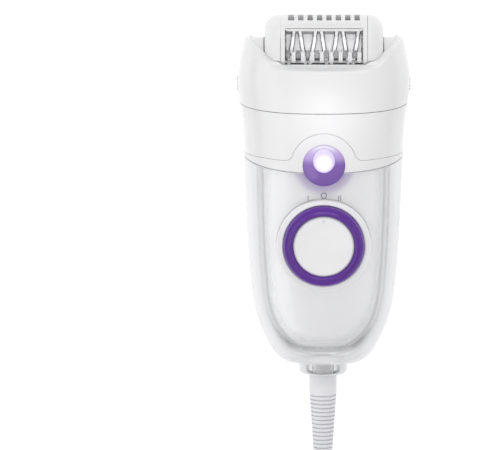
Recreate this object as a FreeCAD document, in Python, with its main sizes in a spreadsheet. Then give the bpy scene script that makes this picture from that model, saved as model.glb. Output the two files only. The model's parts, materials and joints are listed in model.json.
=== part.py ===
import FreeCAD, Part

import math
import os

import Sketcher

V = FreeCAD.Vector
DOC = FreeCAD.newDocument("epilator")
SHEET = DOC.addObject("Spreadsheet::Sheet", "Sizes")

# Driving dimensions in millimetres and degrees. A "station" is a distance along the body from the cord end.
SIZES = {
    "half_length": 64.05,
    "wall": 1.8,
    "clear_wall": 2.2,
    "core_inset": 4.8,
    "core_front_inset": 2.9,
    "core_wall": 1.4,
    "part_line": 9.0,
    "seam_gap": 0.12,
    "head_seam": 97.5,
    "head_seam_fall": 0.0944,
    "band_side": 78.6,
    "band_mid": 76.5,
    "band_front": 74.7,
    "swoosh_side": 80.4,
    "swoosh_dip": 79.0,
    "swoosh_arch": 11.3,
    "swoosh_blend": 3.0,
    "rim_station": 101.0,
    "rim_height": 19.0,
    "rim_radius": 19.0,
    "rim_front": 110.8,
    "rim_blend": 4.0,
    "rim_round": 1.5,
    "insert_drop": 0.7,
    "insert_thick": 1.4,
    "drum_station": 117.6,
    "drum_height": 24.0,
    "disc_radius": 6.8,
    "disc_thick": 0.9,
    "disc_tilt": 9.0,
    "blade_radius": 7.05,
    "blade_thick": 0.35,
    "drum_half": 12.9,
    "drum_core_radius": 3.6,
    "axle_radius": 1.2,
    "cap_radius": 10.5,
    "cap_inner": 9.1,
    "cap_half": 14.95,
    "window_half": 13.5,
    "far_half": 12.35,
    "wing_outer": 20.5,
    "wing_round": 5.2,
    "tooth_width": 1.4,
    "tooth_pitch": 3.24,
    "roller_ring": 9.0,
    "roller_core": 0.6,
    "roller_radius": 1.4,
    "roller_segment": 1.45,
    "gear_module": 0.8,
    "gear_face": 2.4,
    "gear_side": 15.3,
    "drum_teeth": 15,
    "idler_teeth": 12,
    "output_teeth": 14,
    "cross_teeth": 11,
    "crown_module": 0.6,
    "crown_teeth": 20,
    "pinion_teeth": 10,
    "cross_station": 89.5,
    "motor_height": 13.4,
    "motor_radius": 10.0,
    "motor_start": 50.0,
    "motor_length": 29.0,
    "shaft_radius": 1.0,
    "dial_station": 49.0,
    "dial_outer": 14.0,
    "dial_inner": 10.6,
    "dial_top": 38.0,
    "collar_outer": 16.3,
    "switch_arm": 6.0,
    "light_station": 77.5,
    "light_radius": 7.3,
    "lens_half_width": 3.8,
    "lens_half_length": 4.2,
    "board_height": 24.0,
    "board_thick": 1.1,
    "ring_radius": 8.3,
    "ring_height": 14.2,
    "inlet_radius": 5.4,
    "plug_radius": 3.2,
    "relief_radius": 4.85,
    "relief_tip": 3.5,
    "relief_length": 28.5,
    "button_station": 103.5,
    "button_height": 18.0,
    "button_reach": 30.1,
    "stem_end": 24.9,
    "cord_radius": 2.0,
    "coil_x": -22.0,
    "coil_y": -135.0,
    "coil_inner": 16.0,
    "coil_outer": 28.0,
    "coil_height": 16.0,
    "adapter_x": 29.0,
    "adapter_low": -144.0,
    "adapter_length": 34.0,
    "adapter_width": 28.0,
    "adapter_height": 26.0,
    "relief_reach": 13.4,
}
for row, (alias, value) in enumerate(SIZES.items(), start=1):
    SHEET.set("A%d" % row, alias)
    SHEET.set("B%d" % row, str(value))
    SHEET.setAlias("B%d" % row, alias)
DOC.recompute()


def size(alias):
    return float(SHEET.get(alias))


HALF = size("half_length")
NODES = {}

# ---------------------------------------------------------------- document helpers


def bind(item, **expressions):
    for name, expression in expressions.items():
        item.setExpression(name, expression)
    return item


def place(item, x="0", along="0", z="0", turn=None):
    """Puts an item at x, a station along the body and a height, all given as sheet expressions."""
    if turn is not None:
        item.Placement = FreeCAD.Placement(V(0, 0, 0), turn)
    item.setExpression("Placement.Base.x", x)
    item.setExpression("Placement.Base.y", "(%s) - Sizes.half_length" % along)
    item.setExpression("Placement.Base.z", z)
    return item


ALONG_X = FreeCAD.Rotation(V(0, 1, 0), 90)
ALONG_Y = FreeCAD.Rotation(V(1, 0, 0), -90)


def cylinder(name, radius, height, x="0", along="0", z="0", turn=None):
    item = DOC.addObject("Part::Cylinder", name)
    bind(item, Radius=radius, Height=height)
    return place(item, x, along, z, turn)


def box(name, length, width, height, x="0", along="0", z="0"):
    item = DOC.addObject("Part::Box", name)
    bind(item, Length=length, Width=width, Height=height)
    return place(item, x, along, z)


def cut(name, base, tool):
    item = DOC.addObject("Part::Cut", name)
    item.Base = base
    item.Tool = tool
    return item


def fuse(name, *shapes):
    item = DOC.addObject("Part::MultiFuse", name)
    item.Shapes = list(shapes)
    return item


def keep(node, item):
    """Names an item as a finished sub-part."""
    item.Label = node
    NODES[node] = item
    return item


def feature(node, shape):
    """A sub-part whose shape neither a body nor a primitive can hold."""
    item = DOC.addObject("Part::Feature", node)
    item.Shape = shape
    return keep(node, item)


def y_of(station):
    return station - HALF


def block(x0, x1, s0, s1, z0, z1):
    return Part.makeBox(x1 - x0, s1 - s0, z1 - z0, V(x0, y_of(s0), z0))


def rod(radius, centre, direction, length):
    return Part.makeCylinder(radius, length, centre, direction)


def x_rod(radius, station, height, x0, x1):
    return rod(radius, V(x0, y_of(station), height), V(1, 0, 0), x1 - x0)


def y_rod(radius, x, height, s0, s1):
    return rod(radius, V(x, y_of(s0), height), V(0, 1, 0), s1 - s0)


def z_rod(radius, x, station, z0, z1):
    return rod(radius, V(x, y_of(station), z0), V(0, 0, 1), z1 - z0)


def soften(shape, radius, chosen):
    """Rounds the chosen edges."""
    edges = [edge for edge in shape.Edges if chosen(edge)]
    rounded = shape.makeFillet(radius, edges)
    if not rounded.isValid() or rounded.Volume <= 0:
        raise RuntimeError("a rounding of %.2f mm failed" % radius)
    return rounded


def body_sketch(body, role, name):
    sketch = body.newObject("Sketcher::SketchObject", name)
    plane = [item for item in body.Origin.OriginFeatures if item.Role == role][0]
    sketch.AttachmentSupport = [(plane, "")]
    sketch.MapMode = "FlatFace"
    return sketch


def polygon(sketch, points):
    """Draws a closed outline and ties its corners; returns the line numbers."""
    count = len(points)
    lines = []
    for index, (u, v) in enumerate(points):
        end_u, end_v = points[(index + 1) % count]
        lines.append(sketch.addGeometry(Part.LineSegment(V(u, v, 0), V(end_u, end_v, 0))))
    for index in range(count):
        after = (index + 1) % count
        sketch.addConstraint(Sketcher.Constraint("Coincident", lines[index], 2, lines[after], 1))
    return lines


def fix_corner(sketch, line, u_expression, v_expression):
    """Ties the start of a line to sheet sizes."""
    point = sketch.getPoint(line, 1)
    places = (("DistanceX", point.x, u_expression), ("DistanceY", point.y, v_expression))
    for kind, value, expression in places:
        number = sketch.addConstraint(Sketcher.Constraint(kind, -1, 1, line, 1, value))
        sketch.setExpression("Constraints[%d]" % number, expression)


def turned(node, outline):
    """A body of revolution about its sketch's vertical axis, from corners given as sheet expressions."""
    body = DOC.addObject("PartDesign::Body", node + "_body")
    sketch = body_sketch(body, "XZ_Plane", node + "_outline")
    lines = polygon(sketch, [(evaluate(u), evaluate(v)) for u, v in outline])
    for line, (u_expression, v_expression) in zip(lines, outline):
        fix_corner(sketch, line, u_expression, v_expression)
    revolution = body.newObject("PartDesign::Revolution", node + "_revolution")
    revolution.Profile = sketch
    revolution.ReferenceAxis = (sketch, ["V_Axis"])
    revolution.Angle = 360.0
    body.Tip = revolution
    return body


def evaluate(expression):
    return float(SHEET.evalExpression(expression))


# ---------------------------------------------------------------- outer form

# Each section: station, half width, height of the back, of the widest place and of the front.
SECTIONS = [
    (4.5, 12.4, 5.0, 14.2, 23.4),
    (6.3, 15.6, 3.6, 14.6, 25.2),
    (11.5, 19.1, 1.2, 15.6, 28.2),
    (20.8, 22.9, -0.4, 16.8, 31.0),
    (34.0, 25.2, -0.8, 17.6, 33.2),
    (50.0, 26.4, -0.8, 18.0, 34.6),
    (66.0, 27.1, -0.8, 18.2, 35.8),
    (82.0, 27.7, -0.8, 18.4, 37.0),
    (93.0, 28.6, -0.8, 18.8, 38.0),
    (102.5, 29.9, -0.5, 19.0, 38.6),
    (110.0, 29.5, 0.2, 19.0, 38.0),
    (118.0, 27.8, 1.5, 19.0, 36.0),
    (124.0, 25.6, 3.0, 19.0, 34.0),
]
FRONT_POWER = 2.45
BACK_POWER = 2.9
SECTION_POINTS = 28


def section_wire(station, half_width, back, widest, front):
    points = []
    for index in range(SECTION_POINTS):
        angle = 2 * math.pi * (index + 0.5) / SECTION_POINTS
        side = math.cos(angle)
        up = math.sin(angle)
        power = FRONT_POWER if up > 0 else BACK_POWER
        reach = front - widest if up > 0 else widest - back
        x = half_width * math.copysign(abs(side) ** (2 / power), side)
        z = widest + reach * math.copysign(abs(up) ** (2 / power), up)
        points.append(V(x, y_of(station), z))
    curve = Part.BSplineCurve()
    curve.interpolate(Points=points, PeriodicFlag=True)
    return Part.Wire([curve.toShape()])


def form(side=0.0, front=0.0, back=0.0, start=0.0):
    """The outer form moved in by the given amounts, with its cord end moved in by start."""
    wires = []
    for station, half_width, low, widest, high in SECTIONS:
        moved = station + start * max(0.0, 1 - (station - SECTIONS[0][0]) / 14.0)
        wires.append(section_wire(moved, half_width - side, low + back, widest, high - front))
    return Part.makeLoft(wires, True, False)


def above_seam(offset=0.0):
    """Everything on the head's side of the seam between head and body."""
    fall = size("head_seam_fall")
    station = size("head_seam") + offset
    low = y_of(station + fall * 40)
    high = y_of(station - fall * 40)
    corners = [V(-50, low, -20), V(-50, high, 60), V(-50, 90, 60), V(-50, 90, -20), V(-50, low, -20)]
    return Part.Face(Part.makePolygon(corners)).extrude(V(100, 0, 0))


def below_band(offset=0.0):
    """Everything on the cord side of the seam over the clear shell, which dips at the front."""
    side = V(-50, y_of(size("band_side") + offset), 18)
    middle = V(-50, y_of(size("band_mid") + offset), 30.5)
    front = V(-50, y_of(size("band_front") + offset), 36.2)
    top = V(-50, y_of(size("band_front") - 2.2 + offset), 44)
    low = V(-50, side.y, -20)
    edges = [Part.LineSegment(low, side).toShape(), Part.Arc(side, middle, front).toShape()]
    edges.append(Part.LineSegment(front, top).toShape())
    edges.append(Part.LineSegment(top, V(-50, -90, 44)).toShape())
    edges.append(Part.LineSegment(V(-50, -90, 44), V(-50, -90, -20)).toShape())
    edges.append(Part.LineSegment(V(-50, -90, -20), low).toShape())
    return Part.Face(Part.Wire(edges)).extrude(V(100, 0, 0))


def below_swoosh(offset=0.0):
    """Everything on the cord side of the swoosh, which arches over the light."""
    arch = size("swoosh_arch") + offset
    blend = size("swoosh_blend") - offset
    dip = size("swoosh_dip") + offset
    light = size("light_station")
    sine = (dip + blend - light) / (arch + blend)
    angle = math.asin(sine)
    join_x = arch * math.cos(angle)
    join = light + arch * sine
    corner_x = join_x + blend * math.cos(angle)
    half = (math.pi / 2 - angle) / 2
    middle_x = corner_x - blend * math.sin(half)
    middle = dip + blend * (1 - math.cos(half))

    def point(x, station):
        return V(x, y_of(station), -20)

    side = size("swoosh_side") + offset
    outline = [
        Part.LineSegment(point(-40, side), point(-corner_x, dip)).toShape(),
        Part.Arc(point(-corner_x, dip), point(-middle_x, middle), point(-join_x, join)).toShape(),
        Part.Arc(point(-join_x, join), point(0, light + arch), point(join_x, join)).toShape(),
        Part.Arc(point(join_x, join), point(middle_x, middle), point(corner_x, dip)).toShape(),
        Part.LineSegment(point(corner_x, dip), point(40, side)).toShape(),
        Part.LineSegment(point(40, side), point(40, -30)).toShape(),
        Part.LineSegment(point(40, -30), point(-40, -30)).toShape(),
        Part.LineSegment(point(-40, -30), point(-40, side)).toShape(),
    ]
    return Part.Face(Part.Wire(outline)).extrude(V(0, 0, 80))


FLOOR = block(-60, 60, -60, 180, -20, 0)
OUTER = form().cut(FLOOR)
INNER = form(size("wall"), size("wall"), size("wall") + 0.8, size("wall"))
SHELL = OUTER.cut(INNER)
GAP = size("seam_gap")
FRONT_SIDE = block(-60, 60, -60, 180, size("part_line") + GAP / 2, 80)
BACK_SIDE = block(-60, 60, -60, 180, -20, size("part_line") - GAP / 2)
HEAD_SIDE = above_seam(GAP)
BODY_SIDE = block(-60, 60, -60, 180, -20, 80).cut(above_seam(-GAP))
RING_HOLE = y_rod(size("ring_radius") - 0.6, 0, size("ring_height"), -5, 12)
DIAL_HOLE = z_rod(size("collar_outer") + 0.08, 0, size("dial_station"), 24, 60)
LIGHT_HOLE = z_rod(size("light_radius") + 0.06, 0, size("light_station"), 24, 60)


def screw_places():
    return [(side * x, station) for x, station in ((14.4, 24.0), (18.2, 70.0)) for side in (-1, 1)]


def make_rear_shell():
    shell = SHELL.common(BACK_SIDE).common(BODY_SIDE).cut(RING_HOLE)
    for x, station in screw_places():
        boss = z_rod(2.6, x, station, 1.4, size("part_line") - 0.2)
        shell = shell.fuse(boss).cut(z_rod(1.15, x, station, -1, 40)).cut(z_rod(2.15, x, station, -1, 1.6))
    feature("rear_shell", shell)


def make_clear_shell():
    thick = size("clear_wall")
    inner = form(thick, thick, thick, thick)
    shell = OUTER.cut(inner).common(FRONT_SIDE).common(below_band(-0.22))
    shell = shell.cut(RING_HOLE).cut(DIAL_HOLE).cut(LIGHT_HOLE)
    feature("clear_shell", shell)


def make_inner_panel():
    side = size("core_inset")
    front = size("core_front_inset")
    wall = size("core_wall")
    outer = form(side, front, 4.0, 3.6)
    inner = form(side + wall, front + wall, 4.0 + wall, 3.6 + wall)
    panel = outer.cut(inner).common(FRONT_SIDE).common(below_band(-0.3))
    panel = panel.cut(DIAL_HOLE).cut(LIGHT_HOLE)
    panel = panel.cut(y_rod(size("ring_radius") - 0.6, 0, size("ring_height"), -5, 16))
    for x, station in screw_places():
        panel = panel.fuse(z_rod(2.6, x, station, size("part_line") + 0.2, 17.0))
        panel = panel.cut(z_rod(0.85, x, station, 5, 14.5))
    feature("inner_panel", panel)


def make_light_panel():
    panel = SHELL.common(FRONT_SIDE).cut(below_band(0.22)).common(below_swoosh(-GAP / 2))
    feature("light_panel", panel.cut(LIGHT_HOLE))


def make_upper_housing():
    band = SHELL.common(FRONT_SIDE).common(BODY_SIDE)
    feature("upper_housing", band.cut(below_swoosh(GAP / 2)))


def make_screws():
    screws = []
    for x, station in screw_places():
        head = z_rod(1.95, x, station, 0.5, 1.55)
        screw = head.fuse(z_rod(0.95, x, station, 1.5, 13.5))
        slot = Part.makeBox(2.6, 0.5, 0.6, V(x - 1.3, y_of(station) - 0.25, 0.3))
        screws.append(screw.cut(slot).cut(slot.rotated(V(x, y_of(station), 0), V(0, 0, 1), 90)))
    feature("housing_screws", Part.makeCompound(screws))


# ---------------------------------------------------------------- cord end


def make_end_ring():
    """The clear ring round the cord inlet."""
    outer = cylinder("ring_outer", "Sizes.ring_radius", "4.4", along="0", z="Sizes.ring_height", turn=ALONG_Y)
    hole = cylinder("ring_bore", "Sizes.inlet_radius", "6", along="-1", z="Sizes.ring_height", turn=ALONG_Y)
    ring = cut("ring_cut", outer, hole)
    DOC.recompute()
    rounded = DOC.addObject("Part::Fillet", "ring_round")
    rounded.Base = ring
    edges = []
    for number, edge in enumerate(ring.Shape.Edges, start=1):
        is_circle = isinstance(edge.Curve, Part.Circle)
        if is_circle and edge.Curve.Radius > 8 and edge.BoundBox.YMax < y_of(1):
            edges.append((number, 1.2, 1.2))
    rounded.Edges = edges
    keep("end_ring", rounded)


PIN_PLACES = ("-1.5", "1.5")


def make_inlet():
    """The socket that the plug goes into, with its two pins."""
    barrel = cylinder("inlet_barrel", "Sizes.inlet_radius - 0.15", "14", along="4.6",
                      z="Sizes.ring_height", turn=ALONG_Y)
    bore = cylinder("inlet_bore", "Sizes.plug_radius + 0.25", "11", along="2.6",
                    z="Sizes.ring_height", turn=ALONG_Y)
    holes = fuse("pin_holes", *[
        cylinder("pin_hole_%d" % number, "0.6", "30", x=x, along="2", z="Sizes.ring_height", turn=ALONG_Y)
        for number, x in enumerate(PIN_PLACES)
    ])
    keep("inlet_socket", cut("inlet_drilled", cut("inlet_cut", barrel, bore), holes))
    pins = [y_rod(0.6, float(x), size("ring_height"), 6.5, 22.0) for x in PIN_PLACES]
    feature("inlet_pins", Part.makeCompound(pins))


def make_plug():
    """Barrel that fits the inlet, with holes for the two pins, and its moulded strain relief."""
    barrel = cylinder("plug_barrel", "Sizes.plug_radius", "12.9", along="-0.1",
                      z="Sizes.ring_height", turn=ALONG_Y)
    holes = fuse("plug_holes", *[
        cylinder("plug_hole_%d" % number, "0.8", "8", x=x, along="5.5", z="Sizes.ring_height", turn=ALONG_Y)
        for number, x in enumerate(PIN_PLACES)
    ])
    plug = cut("plug_cut", barrel, holes)
    outline = [("0", "0"), ("Sizes.relief_radius - 0.4", "0"), ("Sizes.relief_radius", "0.4")]
    outline.append(("Sizes.relief_radius - 0.1", "7.6"))
    grooves = 14
    pitch = (size("relief_length") - 8.4) / grooves
    for number in range(grooves):
        start = 7.6 + pitch * number
        taper = "Sizes.relief_radius - 0.1 - (Sizes.relief_radius - Sizes.relief_tip) * %.3f" % (
            (number + 0.5) / grooves)
        outline.append((taper + " - 0.65", "%.3f" % (start + 0.08)))
        outline.append((taper + " - 0.65", "%.3f" % (start + 0.36 * pitch)))
        outline.append((taper, "%.3f" % (start + 0.42 * pitch)))
        outline.append((taper + " - 0.03", "%.3f" % (start + pitch)))
    outline.append(("Sizes.relief_tip - 0.3", "Sizes.relief_length"))
    outline.append(("0", "Sizes.relief_length"))
    relief = turned("strain_relief", outline)
    place(relief, along="0", z="Sizes.ring_height", turn=FreeCAD.Rotation(V(1, 0, 0), 90))
    keep("strain_relief", fuse("moulded_plug", plug, relief))


# ---------------------------------------------------------------- cord, coil and adapter

LEAD_ROUTE = [(0, -92.55, 14.2), (0.3, -102.3, 12.8), (2.3, -113.5, 4.8), (4.4, -124, 2), (4, -135, 2)]
TAIL_ROUTE = [(4, -135, 14), (4.3, -146, 12.8), (2.2, -157.5, 7.0), (2.6, -168.6, 2.6), (10.8, -176.8, 2)]
TAIL_ROUTE += [(22.0, -176.4, 2.2), (29.6, -168.0, 4.4), (29.0, -157.2, 7.0)]


def route_wire(route, name):
    """Straight runs joined by tangent arcs, each as large as its two runs allow."""
    points = [V(*point) for point in route]
    edges = []
    start = points[0]
    radii = []
    for before, corner, after in zip(points, points[1:], points[2:]):
        into = (corner - before).normalize()
        out = (after - corner).normalize()
        turn = into.getAngle(out)
        shorter = min((corner - before).Length, (after - corner).Length)
        setback = 0.45 * shorter
        radius = setback / math.tan(turn / 2)
        radii.append(radius)
        first = corner - into * setback
        last = corner + out * setback
        inward = (out - into).normalize()
        middle = corner + inward * (radius / math.cos(turn / 2) - radius)
        edges.append(Part.LineSegment(start, first).toShape())
        edges.append(Part.Arc(first, middle, last).toShape())
        start = last
    edges.append(Part.LineSegment(start, points[-1]).toShape())
    print(name, "arc radii", " ".join("%.0f" % radius for radius in radii))
    return Part.Wire(edges)


def round_section(path, radius):
    """A circle square to the start of a path."""
    first = path.Edges[0]
    circle = Part.Circle(first.Vertexes[0].Point, first.tangentAt(first.FirstParameter), radius)
    return Part.Wire([circle.toShape()])


def make_cord_run(node, route):
    path = route_wire(route, node)
    tube = path.makePipeShell([round_section(path, size("cord_radius"))], True, True)
    expected = math.pi * size("cord_radius") ** 2 * path.Length
    print(node, "length %.1f volume %.0f expected %.0f" % (path.Length, tube.Volume, expected))
    feature(node, tube)


def make_coil():
    """The wound cord's outer shape, and the tie round it."""
    half = (size("coil_outer") - size("coil_inner")) / 2
    ring = turned("cord_coil", [
        ("Sizes.coil_inner", "1.5"), ("Sizes.coil_inner + 1.5", "0"), ("Sizes.coil_outer - 1.5", "0"),
        ("Sizes.coil_outer", "1.5"), ("Sizes.coil_outer", "Sizes.coil_height - 1.5"),
        ("Sizes.coil_outer - 1.5", "Sizes.coil_height"), ("Sizes.coil_inner + 1.5", "Sizes.coil_height"),
        ("Sizes.coil_inner", "Sizes.coil_height - 1.5"),
    ])
    ring.setExpression("Placement.Base.x", "Sizes.coil_x")
    ring.setExpression("Placement.Base.y", "Sizes.coil_y")
    keep("cord_coil", ring)
    height = size("coil_height")
    middle = V(size("coil_x") - size("coil_inner") - half, size("coil_y"), 0)
    outside = Part.makeBox(2 * half + 1.6, 5, height + 0.8, middle + V(-half - 0.8, -2.5, 0))
    inside = Part.makeBox(2 * half + 0.02, 7, height + 0.01, middle + V(-half - 0.01, -3.5, 0))
    strap = outside.cut(inside).common(Part.makeBox(60, 60, height + 2, middle + V(-30, -30, 0)))
    feature("cord_tie", strap)


PLUG_PIN_OFFSET = 9.3
PLUG_PIN_RADIUS = 2.0
PLUG_PIN_LENGTH = 17.0
PLUG_PIN_ROUND = 1.2
ADAPTER_ROUND = 2.4


def make_adapter():
    """A small generic wall adapter, lying on its side beside the coil."""
    case = box("adapter_block", "Sizes.adapter_width", "Sizes.adapter_length", "Sizes.adapter_height",
               x="Sizes.adapter_x - Sizes.adapter_width / 2",
               along="Sizes.adapter_low + Sizes.half_length", z="0")
    DOC.recompute()
    rounded = DOC.addObject("Part::Fillet", "adapter_round")
    rounded.Base = case
    rounded.Edges = [(number, ADAPTER_ROUND, ADAPTER_ROUND) for number in range(1, 13)]
    top = size("adapter_low") + size("adapter_length")
    pins = []
    for side in (-1, 1):
        at = V(size("adapter_x") + PLUG_PIN_OFFSET * side, top, size("adapter_height") / 2)
        pin = Part.makeCylinder(PLUG_PIN_RADIUS, PLUG_PIN_LENGTH, at, V(0, 1, 0))
        pins.append(soften(pin, PLUG_PIN_ROUND, lambda edge: edge.BoundBox.YMin > top + PLUG_PIN_LENGTH - 1))
    feature("adapter_pins", Part.makeCompound(pins))
    end = TAIL_ROUTE[-1]
    relief = turned("adapter_relief", [
        ("0", "0"), ("2.7", "0"), ("3.6", "9"), ("3.6", "Sizes.relief_reach"), ("0", "Sizes.relief_reach"),
    ])
    relief.Placement = FreeCAD.Placement(V(*end), FreeCAD.Rotation(V(1, 0, 0), -90))
    keep("adapter_case", fuse("adapter_whole", rounded, relief))


# ---------------------------------------------------------------- gears


def involute(angle):
    return math.tan(angle) - angle


def gear_outline(teeth, module, phase):
    """Corner points of a spur gear, as (radius, angle) pairs, with a tooth centred on the phase angle."""
    pitch = module * teeth / 2
    base = pitch * math.cos(math.radians(20))
    tip = pitch + 0.8 * module
    root = pitch - 1.15 * module
    half_pitch = math.pi / (2 * teeth) - 0.10 * module / pitch
    points = []
    start = max(base, root) + 0.01
    radii = [root, start, (start + pitch) / 2, pitch, (pitch + tip) / 2, tip]
    halves = []
    for radius in radii:
        reach = max(radius, base)
        halves.append(half_pitch + involute(math.radians(20)) - involute(math.acos(base / reach)))
    for tooth in range(teeth):
        middle = phase + 2 * math.pi * tooth / teeth
        for radius, half in zip(radii, halves):
            points.append((radius, middle - half))
        for radius, half in zip(reversed(radii), reversed(halves)):
            points.append((radius, middle + half))
    return points


def x_gear(teeth, module, phase, station, height, x0, width, bore):
    """A spur gear about X. Angles run from +Y towards +Z."""
    corners = []
    for radius, angle in gear_outline(teeth, module, phase):
        corners.append(V(x0, y_of(station) + radius * math.cos(angle), height + radius * math.sin(angle)))
    corners.append(corners[0])
    blank = Part.Face(Part.makePolygon(corners)).extrude(V(width, 0, 0))
    return blank.cut(x_rod(bore, station, height, x0 - 1, x0 + width + 1))


def mesh_phase(teeth, phase, other_teeth, direction):
    """The phase of a gear that meshes with this one and lies in the given direction from it."""
    share = (direction - phase) / (2 * math.pi / teeth)
    other_share = 0.5 - share
    return direction + math.pi - other_share * 2 * math.pi / other_teeth


def gear_centres():
    """Axes of the train from cross shaft to drum, as (station, height)."""
    module = size("gear_module")
    cross = (size("cross_station"), size("motor_height"))
    drum = (size("drum_station"), size("drum_height"))
    first = module * (size("cross_teeth") + size("output_teeth")) / 2
    second = module * (size("output_teeth") + size("idler_teeth")) / 2
    third = module * (size("idler_teeth") + size("drum_teeth")) / 2
    lean = math.radians(27)
    output = (cross[0] + first * math.cos(lean), cross[1] + first * math.sin(lean))
    along = drum[0] - output[0]
    up = drum[1] - output[1]
    gap = math.hypot(along, up)
    share = (second ** 2 - third ** 2 + gap ** 2) / (2 * gap)
    side = math.sqrt(second ** 2 - share ** 2)
    idler = (output[0] + (along * share + up * side) / gap, output[1] + (up * share - along * side) / gap)
    return cross, output, idler, drum


def direction(start, end):
    return math.atan2(end[1] - start[1], end[0] - start[0])


CROSS_AT, OUTPUT_AT, IDLER_AT, DRUM_AT = gear_centres()


def make_train():
    """Drum gear, idler, output gear and cross gear, all in mesh."""
    module = size("gear_module")
    face = size("gear_face")
    side = size("gear_side")
    axle = size("axle_radius")
    drum_teeth = int(size("drum_teeth"))
    idler_teeth = int(size("idler_teeth"))
    output_teeth = int(size("output_teeth"))
    cross_teeth = int(size("cross_teeth"))
    drum_phase = direction(DRUM_AT, IDLER_AT)
    idler_phase = mesh_phase(drum_teeth, drum_phase, idler_teeth, direction(DRUM_AT, IDLER_AT))
    output_phase = mesh_phase(idler_teeth, idler_phase, output_teeth, direction(IDLER_AT, OUTPUT_AT))
    cross_phase = mesh_phase(output_teeth, output_phase, cross_teeth, direction(OUTPUT_AT, CROSS_AT))
    feature("drum_gear", x_gear(drum_teeth, module, drum_phase, *DRUM_AT, side, face, axle))
    feature("idler_gear", x_gear(idler_teeth, module, idler_phase, *IDLER_AT, side, face, 1.05))
    feature("output_gear", x_gear(output_teeth, module, output_phase, *OUTPUT_AT, side, face, 1.05))
    spur = x_gear(cross_teeth, module, cross_phase, *CROSS_AT, side, face, 1.0)
    feature("cross_gear", spur.fuse(x_rod(2.0, *CROSS_AT, 12.2, side).cut(x_rod(1.0, *CROSS_AT, 12, 16))))


def make_crown():
    """The face gear on the cross shaft and the pinion that drives it."""
    module = size("crown_module")
    teeth = int(size("crown_teeth"))
    radius = module * teeth / 2
    pitch_x = module * size("pinion_teeth") / 2
    root_x = pitch_x + 0.78
    tip_x = pitch_x - 0.42
    half = 0.19 * math.pi * module
    slope = math.tan(math.radians(20))
    crown = x_rod(radius + 0.7, *CROSS_AT, root_x, root_x + 1.4).fuse(x_rod(2.2, *CROSS_AT, root_x, 8.6))
    station, height = CROSS_AT
    for tooth in range(teeth):
        turn = 360.0 * (tooth + 0.5) / teeth
        near = half - slope * (pitch_x - tip_x)
        far = half + slope * (root_x + 0.1 - pitch_x)
        corners = [V(tip_x, 0, -near), V(tip_x, 0, near), V(root_x + 0.1, 0, far), V(root_x + 0.1, 0, -far)]
        wedge = Part.Face(Part.makePolygon(corners + corners[:1])).extrude(V(0, 1.1, 0))
        wedge.translate(V(0, y_of(station) + radius - 0.5, height))
        wedge.rotate(V(0, y_of(station), height), V(1, 0, 0), turn)
        crown = crown.fuse(wedge)
    feature("crown_gear", crown.cut(x_rod(1.0, *CROSS_AT, 0, 12)))
    corners = []
    for reach, angle in gear_outline(int(size("pinion_teeth")), module, 0.0):
        corners.append(V(reach * math.cos(angle), 0, reach * math.sin(angle)))
    corners.append(corners[0])
    pinion = Part.Face(Part.makePolygon(corners)).extrude(V(0, 2.0, 0))
    pinion.translate(V(0, y_of(station - radius - 0.8), height))
    feature("motor_pinion", pinion.cut(y_rod(size("shaft_radius"), 0, height, 80, 90)))


# ---------------------------------------------------------------- drive in the body


def make_motor():
    can = cylinder("can_drum", "Sizes.motor_radius", "Sizes.motor_length", along="Sizes.motor_start",
                   z="Sizes.motor_height", turn=ALONG_Y)
    boss = cylinder("can_boss", "3", "1.6", along="Sizes.motor_start + Sizes.motor_length",
                    z="Sizes.motor_height", turn=ALONG_Y)
    hole = cylinder("can_bore", "Sizes.shaft_radius + 0.05", "60", along="40",
                    z="Sizes.motor_height", turn=ALONG_Y)
    keep("motor_can", cut("can_cut", fuse("can_whole", can, boss), hole))
    end = turned("motor_end_cap", [
        ("Sizes.shaft_radius + 0.05", "0"), ("3.2", "0"), ("3.2", "1"), ("Sizes.motor_radius - 1.6", "1"),
        ("Sizes.motor_radius - 0.5", "2"), ("Sizes.motor_radius - 0.5", "3"),
        ("Sizes.shaft_radius + 0.05", "3"),
    ])
    place(end, along="Sizes.motor_start - 3", z="Sizes.motor_height", turn=FreeCAD.Rotation(V(1, 0, 0), -90))
    keep("motor_end_cap", end)
    keep("motor_shaft", cylinder("shaft_rod", "Sizes.shaft_radius", "38.2", along="46.5",
                                 z="Sizes.motor_height", turn=ALONG_Y))


def make_gear_frame():
    """The bracket that carries the motor and the cross shaft."""
    height = size("motor_height")
    plate = block(-12.5, 12.5, 79.1, 80.9, 3.2, 23.6).cut(y_rod(3.1, 0, height, 70, 90))
    frame = plate
    for x0 in (-6.6, 9.6):
        arm = block(x0, x0 + 1.8, 80.8, 92.8, height - 3.4, height + 3.4)
        frame = frame.fuse(arm).cut(x_rod(1.05, *CROSS_AT, x0 - 1, x0 + 3))
    for x in (-9.0, 9.0):
        frame = frame.cut(y_rod(0.9, x, height + 6, 70, 90))
    feature("gear_frame", frame)
    feature("cross_shaft", x_rod(1.0, *CROSS_AT, -6.8, 18.4))


def deck_slab(low, high):
    return above_seam(low).cut(above_seam(high))


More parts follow.
